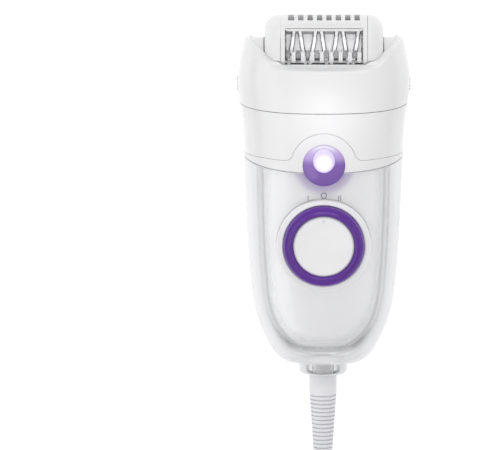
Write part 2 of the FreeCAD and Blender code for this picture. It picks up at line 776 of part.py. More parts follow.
def make_decks():
    """The plates that close the body and the head where they meet."""
    slot = block(14.8, 18.2, 90, 104, OUTPUT_AT[1] - 6.6, OUTPUT_AT[1] + 6.6)
    inside = form(size("wall") + 0.08, size("wall") + 0.08, size("wall") + 0.88, 2)
    deck = deck_slab(-1.5, -GAP).common(inside).cut(slot)
    for x0 in (13.3, 18.4):
        station, height = OUTPUT_AT
        cheek = block(x0, x0 + 1.3, 96.8, station, height - 2.6, height + 2.6)
        deck = deck.fuse(cheek.fuse(x_rod(2.6, station, height, x0, x0 + 1.3)))
    feature("drive_deck", deck.fuse(x_rod(1.0, *OUTPUT_AT, 13.3, 19.7)))
    wide_slot = block(12.7, 20.3, 90, 106, OUTPUT_AT[1] - 6.6, OUTPUT_AT[1] + 6.6)
    base = deck_slab(GAP, 1.5).common(inside).cut(wide_slot)
    for side in (-1, 1):
        seat = block(min(20.6 * side, 21.9 * side), max(20.6 * side, 21.9 * side), 98.6, 105.6, 14.2, 21.8)
        post = y_rod(2.6, 9.0 * side, 24.0, 98.4, 104.0)
        base = base.fuse(seat).fuse(post).cut(y_rod(0.9, 9.0 * side, 24.0, 90, 110))
        base = base.cut(y_rod(1.7, 9.0 * side, 24.0, 90, 98.3))
    feature("head_base", base)
    screws = []
    for x in (-9.0, 9.0):
        head = y_rod(1.6, x, 24.0, 97.4, 98.3)
        screws.append(head.fuse(y_rod(0.88, x, 24.0, 98.2, 106.8)))
    feature("head_screws", Part.makeCompound(screws))


# ---------------------------------------------------------------- board, switch and wires


def lead(points, radius=0.55):
    path = route_wire(points, "wire")
    return path.makePipeShell([round_section(path, radius)], True, True)


def make_board():
    low = size("board_height")
    top = low + size("board_thick")
    board = box("board_plate", "26", "44", "Sizes.board_thick", x="-13", along="39.5", z="Sizes.board_height")
    holes = fuse("board_holes", *[
        cylinder("board_hole_%d" % number, "1.2", "5", x=x, along="76", z="Sizes.board_height - 2")
        for number, x in enumerate(("-10.5", "10.5"))
    ])
    keep("circuit_board", cut("board_cut", board, holes))
    parts = [z_rod(2.4, -8.6, 66.5, top, top + 4.6), z_rod(2.4, 8.6, 66.5, top, top + 4.6)]
    parts.append(block(-3.4, 3.4, 63.0, 69.6, top, top + 1.5))
    for number in range(4):
        parts.append(block(-6 + 3.2 * number, -4.4 + 3.2 * number, 58.6, 59.6, top, top + 0.6))
    feature("board_parts", Part.makeCompound(parts))
    lamp = z_rod(2.2, 0, size("light_station") + 2, top, top + 4.2)
    dome = Part.makeSphere(2.2, V(0, y_of(size("light_station") + 2), top + 4.2))
    flange = z_rod(2.6, 0, size("light_station") + 2, top, top + 0.9)
    feature("lamp_diode", lamp.fuse(dome).fuse(flange))


def make_switch():
    """The slide switch under the dial, and the slider that the dial moves."""
    top = size("board_height") + size("board_thick")
    station = size("dial_station") + size("switch_arm")
    body = block(-4.6, 4.6, station - 2.1, station + 2.1, top, top + 1.9)
    body = body.cut(block(-3.3, 3.3, station - 1.15, station + 1.15, top + 0.7, top + 3))
    feature("switch_body", body)
    foot = block(-1.2, 1.2, station - 1.0, station + 1.0, top + 0.8, top + 1.8)
    feature("switch_slider", foot.fuse(z_rod(0.8, 0, station, top + 1.7, 30.6)))


def make_wires():
    height = size("motor_height")
    end = size("motor_start") - 3
    top = size("board_height")
    motor = []
    inlet = []
    for side in (-1, 1):
        motor.append(lead([(5 * side, y_of(end + 1), height + 1), (5.1 * side, y_of(end - 3), height + 1.2),
                           (5.6 * side, y_of(end - 4.6), height + 5), (5.8 * side, y_of(end - 4.4), top)]))
        inlet.append(lead([(1.5 * side, y_of(22), 14.2), (1.6 * side, y_of(26), 14.5),
                           (4.8 * side, y_of(32), 16.5), (8.4 * side, y_of(39.2), 19.4),
                           (9.0 * side, y_of(41.4), top)]))
    feature("internal_leads", Part.makeCompound(motor + inlet))


# ---------------------------------------------------------------- dial and light


def make_dial():
    station = size("dial_station")
    collar = turned("dial_collar", [
        ("4.55", "27.5"), ("Sizes.collar_outer", "27.5"), ("Sizes.collar_outer", "34.9"),
        ("Sizes.collar_outer - 0.5", "35.5"), ("Sizes.collar_outer - 1.2", "35.5"),
        ("Sizes.dial_outer + 0.35", "34.9"), ("Sizes.dial_outer + 0.35", "28.7"), ("4.55", "28.7"),
    ])
    place(collar, along="Sizes.dial_station")
    slot = box("collar_slot", "7", "2", "4", x="-3.5", z="26",
               along="Sizes.dial_station + Sizes.switch_arm - 1")
    keep("dial_collar", cut("collar_cut", collar, slot))
    ring = turned("dial_ring", [
        ("Sizes.dial_inner", "33.4"), ("Sizes.dial_outer", "33.4"),
        ("Sizes.dial_outer", "Sizes.dial_top - 1.2"),
        ("Sizes.dial_outer - 0.7", "Sizes.dial_top - 0.2"), ("Sizes.dial_outer - 1.4", "Sizes.dial_top"),
        ("Sizes.dial_inner + 0.8", "Sizes.dial_top - 0.2"), ("Sizes.dial_inner", "Sizes.dial_top - 1.0"),
    ])
    place(ring, along="Sizes.dial_station")
    keep("dial_ring", ring)
    disc = turned("dial_disc", [
        ("0", "33.4"), ("Sizes.dial_inner - 0.06", "33.4"),
        ("Sizes.dial_inner - 0.06", "Sizes.dial_top - 1.3"),
        ("Sizes.dial_inner - 0.6", "Sizes.dial_top - 0.9"), ("6", "Sizes.dial_top - 1.25"),
        ("0", "Sizes.dial_top - 1.4"),
    ])
    place(disc, along="Sizes.dial_station")
    dimple = cylinder("disc_dimple", "0.5", "4", along="Sizes.dial_station + 8.8", z="Sizes.dial_top - 1.3")
    keep("dial_disc", cut("disc_cut", disc, dimple))
    hub = z_rod(4.3, 0, station, 27.2, 31.2).fuse(z_rod(13.4, 0, station, 31.2, 33.35))
    arm = block(-2.2, 2.2, station + 3.5, station + 7.9, 29.0, 31.3)
    arm = arm.cut(block(-0.95, 0.95, station + 4.9, station + 8.2, 28, 31.3))
    hub = hub.fuse(arm).cut(z_rod(2.9, 0, station, 27, 30.2))
    hub = hub.cut(block(-0.95, 0.95, station + 4.9, station + 7.6, 28, 31.2))
    feature("dial_hub", hub)
    leaf = z_rod(11.4, 0, station, 28.75, 30.6).cut(z_rod(11.0, 0, station, 28, 32))
    leaf = leaf.common(block(-7, 7, station - 12, station - 4, 28, 32))
    feature("detent_spring", leaf)


def make_light():
    station = size("light_station")
    radius = size("light_radius")
    rise = 2.5
    edge_height = 36.5
    ball = (radius ** 2 + rise ** 2) / (2 * rise)
    dome = Part.makeSphere(ball, V(0, y_of(station), edge_height + rise - ball))
    barrel = z_rod(radius, 0, station, 32.6, 42)
    bezel = barrel.common(dome.fuse(z_rod(radius, 0, station, 30, edge_height)))
    lens_at = V(0, y_of(station + 2), 0)
    half_width = size("lens_half_width")
    half_length = size("lens_half_length")
    shoulder = V(1, 0, 6.4)
    side = Part.LineSegment(V(1, 0, 0), shoulder).toShape()
    crown = Part.Arc(shoulder, V(0.62, 0, 7.5), V(0, 0, 7.9)).toShape()
    bottom = Part.LineSegment(V(0, 0, 0), V(1, 0, 0)).toShape()
    middle = Part.LineSegment(V(0, 0, 7.9), V(0, 0, 0)).toShape()
    round_lens = Part.Face(Part.Wire([bottom, side, crown, middle])).revolve(V(0, 0, 0), V(0, 0, 1), 360)
    stretch = FreeCAD.Matrix()
    stretch.scale(half_width, half_length, 1.0)
    lens = round_lens.transformGeometry(stretch)
    lens.translate(lens_at + V(0, 0, 32.2))
    stretch = FreeCAD.Matrix()
    stretch.scale(half_width + 0.03, half_length + 0.03, 1.0)
    opening = Part.makeCylinder(1.0, 12).transformGeometry(stretch)
    opening.translate(lens_at + V(0, 0, 31.0))
    feature("light_bezel", bezel.cut(opening))
    feature("light_lens", lens.cut(z_rod(2.9, 0, station + 2, 20, 33.5)))


# ---------------------------------------------------------------- head


def rim_form(inset):
    """Everything below the head's rim, which is level in front and behind and rises to an ear at each side."""
    radius = size("rim_radius") - inset
    blend = size("rim_blend") + inset
    level = size("rim_front") - inset
    across = level + blend - size("rim_station")
    rise = math.sqrt((radius + blend) ** 2 - across ** 2)
    share = radius / (radius + blend)
    slant = math.atan2(rise, across) / 2

    def point(station, up):
        return V(-60, y_of(station), size("rim_height") + up)

    def blend_middle(side):
        turn = math.pi - slant
        return point(level + blend + blend * math.cos(turn), side * (rise - blend * math.sin(turn)))

    def join(side):
        return point(size("rim_station") + across * share, side * rise * share)

    outline = [
        Part.LineSegment(point(60, 60), point(level, 60)).toShape(),
        Part.LineSegment(point(level, 60), point(level, rise)).toShape(),
        Part.Arc(point(level, rise), blend_middle(1), join(1)).toShape(),
        Part.Arc(join(1), point(size("rim_station") + radius, 0), join(-1)).toShape(),
        Part.Arc(join(-1), blend_middle(-1), point(level, -rise)).toShape(),
        Part.LineSegment(point(level, -rise), point(level, -60)).toShape(),
        Part.LineSegment(point(level, -60), point(60, -60)).toShape(),
        Part.LineSegment(point(60, -60), point(60, 60)).toShape(),
    ]
    return Part.Face(Part.Wire(outline)).extrude(V(120, 0, 0))


def make_head_housing():
    """The head's shell, hollowed after its rim is rounded."""
    below_rim = rim_form(0)
    rim_surface = below_rim.Shells[0]

    def on_rim(edge):
        middle = edge.valueAt((edge.FirstParameter + edge.LastParameter) / 2)
        curved = not isinstance(edge.Curve, Part.Line)
        return curved and rim_surface.distToShape(Part.Vertex(middle))[0] < 0.01

    shell = soften(OUTER.common(HEAD_SIDE).common(below_rim), size("rim_round"), on_rim).cut(INNER)
    for side in (-1, 1):
        shell = shell.cut(button_slot(side))
    feature("head_housing", shell)


def make_insert():
    """The saddle round the cap, set a little below the housing's rim."""
    inside = form(size("wall") + 0.1, size("wall") + 0.1, size("wall") + 0.9, 2)
    drop = size("insert_drop")
    top = rim_form(drop)
    under = rim_form(drop + size("insert_thick"))
    saddle = top.cut(under).common(inside).common(block(-60, 60, 101.5, 180, -20, 80))
    reach = size("wing_outer") + 0.3
    well = x_rod(size("cap_radius") + 0.3, *DRUM_AT, -reach, reach)
    well = soften(well, size("wing_round") + 0.3, lambda edge: abs(edge.BoundBox.Center.x) > reach - 0.1)
    feature("shoulder_insert", saddle.cut(well))


def make_head_frame():
    """The cradle that carries the drum and the idler."""
    station, height = DRUM_AT
    frame = block(-14.3, 14.3, 104.0, 107.2, 17.0, 31.0)
    plates = ((-14.3, 1.0, 6.0), (13.3, 1.0, 6.0), (18.1, 0.9, 5.0))
    for x0, thick, radius in plates:
        plate = block(x0, x0 + thick, 103.2, station, 13.4, height + radius)
        frame = frame.fuse(plate.fuse(x_rod(radius, station, height, x0, x0 + thick)))
    frame = frame.fuse(block(14.0, 18.6, 103.2, 105.8, 27.2, 30.0))
    frame = frame.cut(block(-20, 20, 112.5, 130, 10, 17.6))
    frame = frame.cut(x_rod(1.9, *DRUM_AT, -20, 20)).fuse(x_rod(1.0, *IDLER_AT, 13.3, 19.0))
    for side in (-1, 1):
        frame = frame.cut(y_rod(0.9, 9.0 * side, 24.0, 100, 107.0))
    feature("head_frame", frame)
    bushes = []
    axle = size("axle_radius")
    for x0, thick, _ in plates:
        bush = x_rod(1.9, *DRUM_AT, x0, x0 + thick)
        bushes.append(bush.cut(x_rod(axle + 0.05, *DRUM_AT, x0 - 1, x0 + thick + 1)))
    feature("drum_bushes", Part.makeCompound(bushes))


def button_slot(side):
    station = size("button_station")
    height = size("button_height")
    slot = block(24, 34, station - 2.9, station + 2.9, height - 5.2, height + 5.2)
    if side < 0:
        slot = slot.mirror(V(0, 0, 0), V(1, 0, 0))
    return slot


def make_button(side, node):
    """A ribbed push button with a flange behind the housing."""
    station = size("button_station")
    height = size("button_height")
    reach = size("button_reach")
    pad = block(27.0, reach - 0.45, station - 2.7, station + 2.7, height - 5.0, height + 5.0)
    pad = soften(pad, 0.6, lambda edge: edge.BoundBox.XMin > reach - 1)
    ribs = 4
    for number in range(ribs):
        along = station - 1.8 + 1.2 * number
        rib = rod(0.45, V(reach - 0.45, y_of(along), height - 4.0), V(0, 0, 1), 8.0)
        pad = pad.fuse(rib)
    flange = block(26.2, 27.1, station - 3.4, station + 3.4, height - 5.7, height + 5.7)
    button = pad.fuse(flange).fuse(x_rod(1.1, station, height, size("stem_end"), 26.6))
    if side < 0:
        button = button.mirror(V(0, 0, 0), V(1, 0, 0))
    feature(node, button)


def make_button_spring(side, node):
    """A bowed steel leaf between the button's stem and its seat."""
    station = size("button_station")
    height = size("button_height")
    outer = 3.45
    thick = 0.25
    half_width = 1.3
    seat = 21.95
    centre = size("stem_end") - 0.03 - outer
    bow = y_rod(outer, centre, height, station - half_width, station + half_width)
    bow = bow.cut(y_rod(outer - thick, centre, height, station - 2, station + 2))
    bow = bow.common(block(seat, 30, station - 2, station + 2, height - 5, height + 5))
    if side < 0:
        bow = bow.mirror(V(0, 0, 0), V(1, 0, 0))
    feature(node, bow)


# ---------------------------------------------------------------- drum


def make_drum():
    station, height = DRUM_AT
    half = size("drum_half")
    keep("drum_axle", cylinder("drum_rod", "Sizes.axle_radius", "33.3", x="-14.3",
                               along="Sizes.drum_station", z="Sizes.drum_height", turn=ALONG_X))
    core = cylinder("core_rod", "Sizes.drum_core_radius", "2 * Sizes.drum_half", x="-Sizes.drum_half",
                    along="Sizes.drum_station", z="Sizes.drum_height", turn=ALONG_X)
    bore = cylinder("core_bore", "Sizes.axle_radius", "40", x="-20",
                    along="Sizes.drum_station", z="Sizes.drum_height", turn=ALONG_X)
    keep("drum_core", cut("core_cut", core, bore))
    discs = []
    blades = []
    count = 7
    pitch = (2 * half - 3.6) / (count - 1)
    for number in range(count):
        x = -half + 1.8 + pitch * number
        tilt = size("disc_tilt") * (1 if number % 2 else -1)
        reach = size("disc_thick") / 2
        disc = x_rod(size("disc_radius"), station, height, x - reach, x + reach)
        for notch in range(4):
            angle = math.radians(45 + 90 * notch)
            at = V(x - 2, y_of(station) + 6.9 * math.cos(angle), height + 6.9 * math.sin(angle))
            disc = disc.cut(rod(1.3, at, V(1, 0, 0), 4))
        disc.rotate(V(x, y_of(station), height), V(0, 0, 1), tilt)
        discs.append(disc.cut(x_rod(size("drum_core_radius"), station, height, x - 4, x + 4)))
        for side in (-1, 1):
            offset = side * (reach + size("blade_thick") / 2 + 0.02)
            blade = blade_fan(x + offset, side)
            blade.rotate(V(x, y_of(station), height), V(0, 0, 1), tilt)
            blades.append(blade.cut(x_rod(size("drum_core_radius"), station, height, x - 4, x + 4)))
    feature("tweezer_discs", Part.makeCompound(discs))
    feature("tweezer_blades", Part.makeCompound(blades))


def blade_fan(x, side):
    """Thin steel blade with two tongues that reach the drum's edge."""
    station, height = DRUM_AT
    thick = size("blade_thick")
    fan = x_rod(4.6, station, height, x - thick / 2, x + thick / 2)
    for turn in (0, 180):
        tip = station + size("blade_radius")
        tongue = block(x - thick / 2, x + thick / 2, station, tip, height - 1.5, height + 1.5)
        tongue.rotate(V(x, y_of(station), height), V(1, 0, 0), turn + (20 if side > 0 else 65))
        fan = fan.fuse(tongue)
    return fan.common(x_rod(size("blade_radius"), station, height, x - 2, x + 2))


# ---------------------------------------------------------------- cap


def sector(radius, first, last, x0, x1):
    """A wedge about the drum axis. Angles run from the front towards the top of the head."""
    station, height = DRUM_AT
    steps = max(2, int(abs(last - first) / 30) + 1)
    corners = [V(x0, y_of(station), height)]
    for number in range(steps + 1):
        angle = math.radians(first + (last - first) * number / steps)
        corners.append(V(x0, y_of(station) + radius * math.sin(angle), height + radius * math.cos(angle)))
    corners.append(corners[0])
    return Part.Face(Part.makePolygon(corners)).extrude(V(x1 - x0, 0, 0))


def at_angle(radius, angle):
    """A place about the drum axis, as a station and a height."""
    turn = math.radians(angle)
    return DRUM_AT[0] + radius * math.sin(turn), DRUM_AT[1] + radius * math.cos(turn)


NEAR_ROW = (-26.0, -4.5)
NEAR_TOOTH_ROOT = 2.5
NEAR_BAR_EDGE = -30.0
NEAR_BAR_RADIUS = 9.7
TOOTH_UNDER = 9.75
WINDOW_END = 43.0
FAR_ROW = (63.0, 104.0)
FRONT_ROLLER = -12.0
REAR_ROLLER = 84.0


def tooth_places(first, count):
    return [first + size("tooth_pitch") * number for number in range(count)]


NEAR_TEETH = tooth_places(-10.5, 8)
FAR_TEETH = tooth_places(-9.6, 7)


def make_cap_frame():
    """The comb cap: two rows of teeth, the window between them and the wall behind the drum."""
    half = size("cap_half")
    window = size("window_half")
    ring = x_rod(size("cap_radius"), *DRUM_AT, -half, half)
    ring = ring.cut(x_rod(size("cap_inner"), *DRUM_AT, -half, half))
    frame = ring.common(sector(30, NEAR_BAR_EDGE, 172, -half, half))
    frame = frame.cut(rim_form(size("insert_drop") + size("insert_thick") + 0.1))
    frame = frame.cut(sector(30, NEAR_ROW[1], WINDOW_END, -window, window))
    near_bar = sector(30, NEAR_BAR_EDGE - 1, NEAR_ROW[0], -window, window)
    frame = frame.cut(near_bar.cut(x_rod(NEAR_BAR_RADIUS, *DRUM_AT, -half, half)))
    thin = x_rod(TOOTH_UNDER, *DRUM_AT, -window, window)
    for low, high in ((NEAR_ROW[0] + NEAR_TOOTH_ROOT, NEAR_ROW[1]), FAR_ROW):
        frame = frame.cut(thin.common(sector(30, low, high, -window, window)))
    frame = cut_gaps(frame, NEAR_ROW, NEAR_TEETH, window)
    frame = cut_gaps(frame, FAR_ROW, FAR_TEETH, size("far_half"))
    for angle in (FRONT_ROLLER, REAR_ROLLER):
        axis = at_angle(size("roller_ring"), angle)
        for x0 in (-half, window):
            ear = x_rod(1.35, *axis, x0 + 0.05, x0 + half - window - 0.05)
            frame = frame.fuse(ear)
        frame = frame.cut(x_rod(size("roller_core") + 0.06, *axis, -14.7, 14.7))
    feature("cap_frame", frame)


def cut_gaps(frame, row, teeth, window):
    """Opens the spaces between the teeth of one comb row."""
    edges = [-window]
    for x in teeth:
        edges += [x - size("tooth_width") / 2, x + size("tooth_width") / 2]
    edges.append(window)
    for low, high in zip(edges[::2], edges[1::2]):
        if high - low > 0.5:
            frame = frame.cut(sector(30, row[0], row[1], low, high))
    return frame


def make_wing(side, node):
    """The rounded side cover of the cap, hollow for the drum's bearings and gear."""
    x0 = size("cap_half") + 0.12
    x1 = size("wing_outer")
    wing = x_rod(size("cap_radius"), *DRUM_AT, x0, x1)
    wing = soften(wing, size("wing_round"), lambda edge: edge.BoundBox.XMin > x1 - 0.1)
    for radius, depth in ((8.4, 17.9), (6.7, x1 - 1.3)):
        wing = wing.cut(x_rod(radius, *DRUM_AT, x0 - 1, depth))
        slot = block(x0 - 1, depth, 90, size("drum_station"), DRUM_AT[1] - radius, DRUM_AT[1] + radius)
        wing = wing.cut(slot)
    wing = wing.cut(rim_form(size("insert_drop") + size("insert_thick") + 0.1))
    room = size("wall") + 0.35
    rim = form(-2, -2, -2).cut(form(room, room, room)).common(rim_form(-0.3))
    rim = rim.common(block(0, 40, 101, 130, 19, 50))
    for step in range(4):
        lowered = rim.copy()
        lowered.translate(V(0, -0.7 * step, 0))
        wing = wing.cut(lowered)
    if side < 0:
        wing = wing.mirror(V(0, 0, 0), V(1, 0, 0))
    feature(node, wing)


def make_roller(node, angle, teeth, half):
    """A thin spindle with ribbed rollers between the comb teeth."""
    axis = at_angle(size("roller_ring"), angle)
    reach = size("tooth_width") / 2
    roller = x_rod(size("roller_core"), *axis, -14.5, 14.5)
    edges = [-half] + [x for tooth in teeth for x in (tooth - reach, tooth + reach)] + [half]
    for low, high in zip(edges[::2], edges[1::2]):
        if high - low < 1.2:
            continue
        middle = (low + high) / 2
        length = min(size("roller_segment"), high - low - 0.36)
        drum = x_rod(size("roller_radius"), *axis, middle - length / 2, middle + length / 2)
        for flute in range(6):
            turn = math.radians(60 * flute)
            at = V(middle - 2, y_of(axis[0]) + 1.62 * math.cos(turn), axis[1] + 1.62 * math.sin(turn))
            drum = drum.cut(rod(0.36, at, V(1, 0, 0), 4))
        roller = roller.fuse(drum)
    feature(node, roller)


# ---------------------------------------------------------------- everything


def build():
    make_rear_shell()
    make_clear_shell()
    make_inner_panel()
    make_light_panel()
    make_upper_housing()
    make_screws()
    make_end_ring()
    make_inlet()
    make_plug()
    make_cord_run("cord_lead", LEAD_ROUTE)
    make_coil()
    make_cord_run("cord_tail", TAIL_ROUTE)
    make_adapter()
    make_train()
    make_crown()
    make_motor()
    make_gear_frame()
    make_decks()
    make_board()
    make_switch()
    make_wires()
    make_dial()
    make_light()
    make_head_housing()
    make_insert()
    make_head_frame()
    make_button(-1, "release_button_left")
    make_button(1, "release_button_right")
    make_button_spring(-1, "button_spring_left")
    make_button_spring(1, "button_spring_right")
    make_drum()
    make_cap_frame()
    make_wing(-1, "cap_wing_left")
    make_wing(1, "cap_wing_right")
    make_roller("front_roller", FRONT_ROLLER, NEAR_TEETH, size("window_half"))
    make_roller("rear_roller", REAR_ROLLER, FAR_TEETH, size("far_half"))


def check_and_export():
    DOC.recompute()
    for item in DOC.Objects:
        if "Invalid" in item.State or "Error" in item.State:
            raise RuntimeError("%s failed: %s" % (item.Name, item.State))
    for node, item in NODES.items():
        shape = item.Shape
        if shape.isNull() or not shape.isValid() or not shape.Solids:
            raise RuntimeError("%s has no valid solid" % node)
    os.makedirs("parts", exist_ok=True)
    for node, item in NODES.items():
        item.Shape.exportStep("parts/%s.step" % node)
        print("%-22s %2d solid(s) %9.1f mm3" % (node, len(item.Shape.Solids), item.Shape.Volume))
    print(len(NODES), "sub-parts")


build()
check_and_export()
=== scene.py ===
import json
import math

import bmesh
import bpy
from mathutils import Matrix, Vector
from mathutils.bvhtree import BVHTree


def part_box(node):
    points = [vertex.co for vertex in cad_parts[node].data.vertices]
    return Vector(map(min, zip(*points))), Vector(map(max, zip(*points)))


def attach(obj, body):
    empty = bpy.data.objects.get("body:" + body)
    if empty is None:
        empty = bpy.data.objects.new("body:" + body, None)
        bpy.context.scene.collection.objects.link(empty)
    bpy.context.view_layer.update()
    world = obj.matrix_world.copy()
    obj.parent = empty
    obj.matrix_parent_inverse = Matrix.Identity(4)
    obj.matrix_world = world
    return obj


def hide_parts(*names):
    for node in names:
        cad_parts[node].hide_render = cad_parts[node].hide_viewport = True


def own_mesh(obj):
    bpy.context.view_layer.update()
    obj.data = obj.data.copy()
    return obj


MM = 0.001
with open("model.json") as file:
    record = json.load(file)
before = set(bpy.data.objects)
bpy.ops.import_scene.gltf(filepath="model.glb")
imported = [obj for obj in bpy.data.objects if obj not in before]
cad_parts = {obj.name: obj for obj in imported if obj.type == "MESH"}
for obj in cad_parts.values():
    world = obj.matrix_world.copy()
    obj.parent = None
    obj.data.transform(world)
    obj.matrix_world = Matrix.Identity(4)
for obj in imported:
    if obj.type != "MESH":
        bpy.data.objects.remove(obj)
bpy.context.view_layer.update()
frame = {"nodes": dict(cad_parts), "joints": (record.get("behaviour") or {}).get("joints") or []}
NODES = frame["nodes"]
SCENE = bpy.context.scene

# Stations are millimetres along the body from its cord end, as in the part's source.
CORD_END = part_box("end_ring")[0].y


def place(x, station, z):
    """A point in metres from millimetres across, along the body and up."""
    return Vector((x * MM, CORD_END + station * MM, z * MM))


# ---------------------------------------------------------------- camera, floor and light

VIEW_TILT = math.radians(11.0)
VIEW_DISTANCE = 3.0
VIEW_WIDTH = 173.4 * MM
VIEW_TARGET = Vector((-25.5 * MM, -9.7 * MM, 25.0 * MM))
SENSOR_WIDTH = 36.0

WORLD_STRENGTH = 0.78
HORIZON = (0.75, 0.75, 0.76, 1)
OVERHEAD = (1.0, 1.0, 1.0, 1)
OVERHEAD_FROM = 0.85

FLOOR_REACH = 6.0
FLOOR_DROP = 0.05 * MM
FLOOR_WHITE = (0.62, 0.62, 0.62, 1)
FLOOR_GLOW = 0.56

# Each softbox: name, place from the body's middle, size, power, and whether gloss shows it.
SOFTBOXES = [
    ("softbox_left", (-0.86, -0.1, 0.72), (2.4, 0.85), 5.0, True),
    ("softbox_head", (0.1, 1.2, 0.8), (1.2, 0.6), 4.0, True),
    ("fill_right", (1.1, 0.1, 0.7), (1.6, 1.2), 3.0, False),
]
BODY_MIDDLE = place(0, 60, 20)

# The lit lens, as a small lamp ahead of the lens and above it.
GLOW_POWER = 0.0055
GLOW_COLOUR = (1.0, 0.98, 1.0)
GLOW_RADIUS = 5 * MM
GLOW_AHEAD = 9.0 * MM
GLOW_ABOVE = 19 * MM


def make_camera():
    camera = bpy.data.objects.new("camera", bpy.data.cameras.new("camera"))
    SCENE.collection.objects.link(camera)
    back = Vector((0, math.sin(VIEW_TILT), math.cos(VIEW_TILT)))
    up = Vector((0, math.cos(VIEW_TILT), -math.sin(VIEW_TILT)))
    right = up.cross(back)
    turn = Matrix((right, up, back)).transposed().to_4x4()
    camera.matrix_world = Matrix.Translation(VIEW_TARGET + back * VIEW_DISTANCE) @ turn
    camera.data.sensor_width = SENSOR_WIDTH
    camera.data.lens = SENSOR_WIDTH * VIEW_DISTANCE / VIEW_WIDTH
    camera.data.clip_start = 0.05
    camera.data.clip_end = 30.0
    SCENE.camera = camera


def make_softbox(name, offset, size, power, in_gloss):
    """A rectangular lamp that faces the middle of the body."""
    lamp = bpy.data.lights.new(name, "AREA")
    lamp.shape = "RECTANGLE"
    lamp.size, lamp.size_y = size
    lamp.energy = power
    item = bpy.data.objects.new(name, lamp)
    SCENE.collection.objects.link(item)
    item.location = BODY_MIDDLE + Vector(offset)
    item.rotation_euler = (BODY_MIDDLE - item.location).to_track_quat("-Z", "Y").to_euler()
    item.visible_glossy = in_gloss


def make_world():
    """A white studio: bright overhead and a little darker towards the horizon."""
    world = bpy.data.worlds.new("studio")
    SCENE.world = world
    world.use_nodes = True
    tree = world.node_tree
    tree.nodes.clear()
    where = tree.nodes.new("ShaderNodeTexCoord")
    split = tree.nodes.new("ShaderNodeSeparateXYZ")
    ramp = tree.nodes.new("ShaderNodeValToRGB")
    ramp.color_ramp.elements[0].position = 0.0
    ramp.color_ramp.elements[0].color = HORIZON
    ramp.color_ramp.elements[1].position = OVERHEAD_FROM
    ramp.color_ramp.elements[1].color = OVERHEAD
    glow = tree.nodes.new("ShaderNodeBackground")
    glow.inputs["Strength"].default_value = WORLD_STRENGTH
    out = tree.nodes.new("ShaderNodeOutputWorld")
    tree.links.new(where.outputs["Generated"], split.inputs[0])
    tree.links.new(split.outputs["Z"], ramp.inputs[0])
    tree.links.new(ramp.outputs[0], glow.inputs["Color"])
    tree.links.new(glow.outputs[0], out.inputs[0])


def make_floor():
    mesh = bpy.data.meshes.new("floor")
    signs = [(-1, -1), (1, -1), (1, 1), (-1, 1)]
    mesh.from_pydata([(x * FLOOR_REACH, y * FLOOR_REACH, -FLOOR_DROP) for x, y in signs], [], [(0, 1, 2, 3)])
    floor = bpy.data.objects.new("floor", mesh)
    SCENE.collection.objects.link(floor)
    mesh.materials.append(light_table())


def light_table():
    """A white surface lit a little from below, so that shadows on it stay pale."""
    material = bpy.data.materials.new("floor_white")
    material.use_nodes = True
    shader = material.node_tree.nodes["Principled BSDF"]
    shader.inputs["Base Color"].default_value = FLOOR_WHITE
    shader.inputs["Roughness"].default_value = 0.9
    shader.inputs["Specular IOR Level"].default_value = 0.1
    shader.inputs["Emission Color"].default_value = (1, 1, 1, 1)
    shader.inputs["Emission Strength"].default_value = FLOOR_GLOW
    return material


def make_lights():
    for softbox in SOFTBOXES:
        make_softbox(*softbox)
    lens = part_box("light_lens")
    glow = bpy.data.lights.new("lens_glow", "POINT")
    glow.energy = GLOW_POWER
    glow.color = GLOW_COLOUR
    glow.shadow_soft_size = GLOW_RADIUS
    item = bpy.data.objects.new("lens_glow", glow)
    SCENE.collection.objects.link(item)
    item.location = Vector((0, lens[1].y + GLOW_AHEAD, lens[1].z + GLOW_ABOVE))
    item.visible_glossy = False


# ---------------------------------------------------------------- materials

COAT_ROUGHNESS = 0.06
MOTTLE_SCALE = 90.0
GRAIN_SCALE = 2500.0
GRAIN_HEIGHT = 0.02 * MM


def node(tree, kind, **inputs):
    made = tree.nodes.new(kind)
    for name, value in inputs.items():
        made.inputs[name.replace("_", " ")].default_value = value
    return made


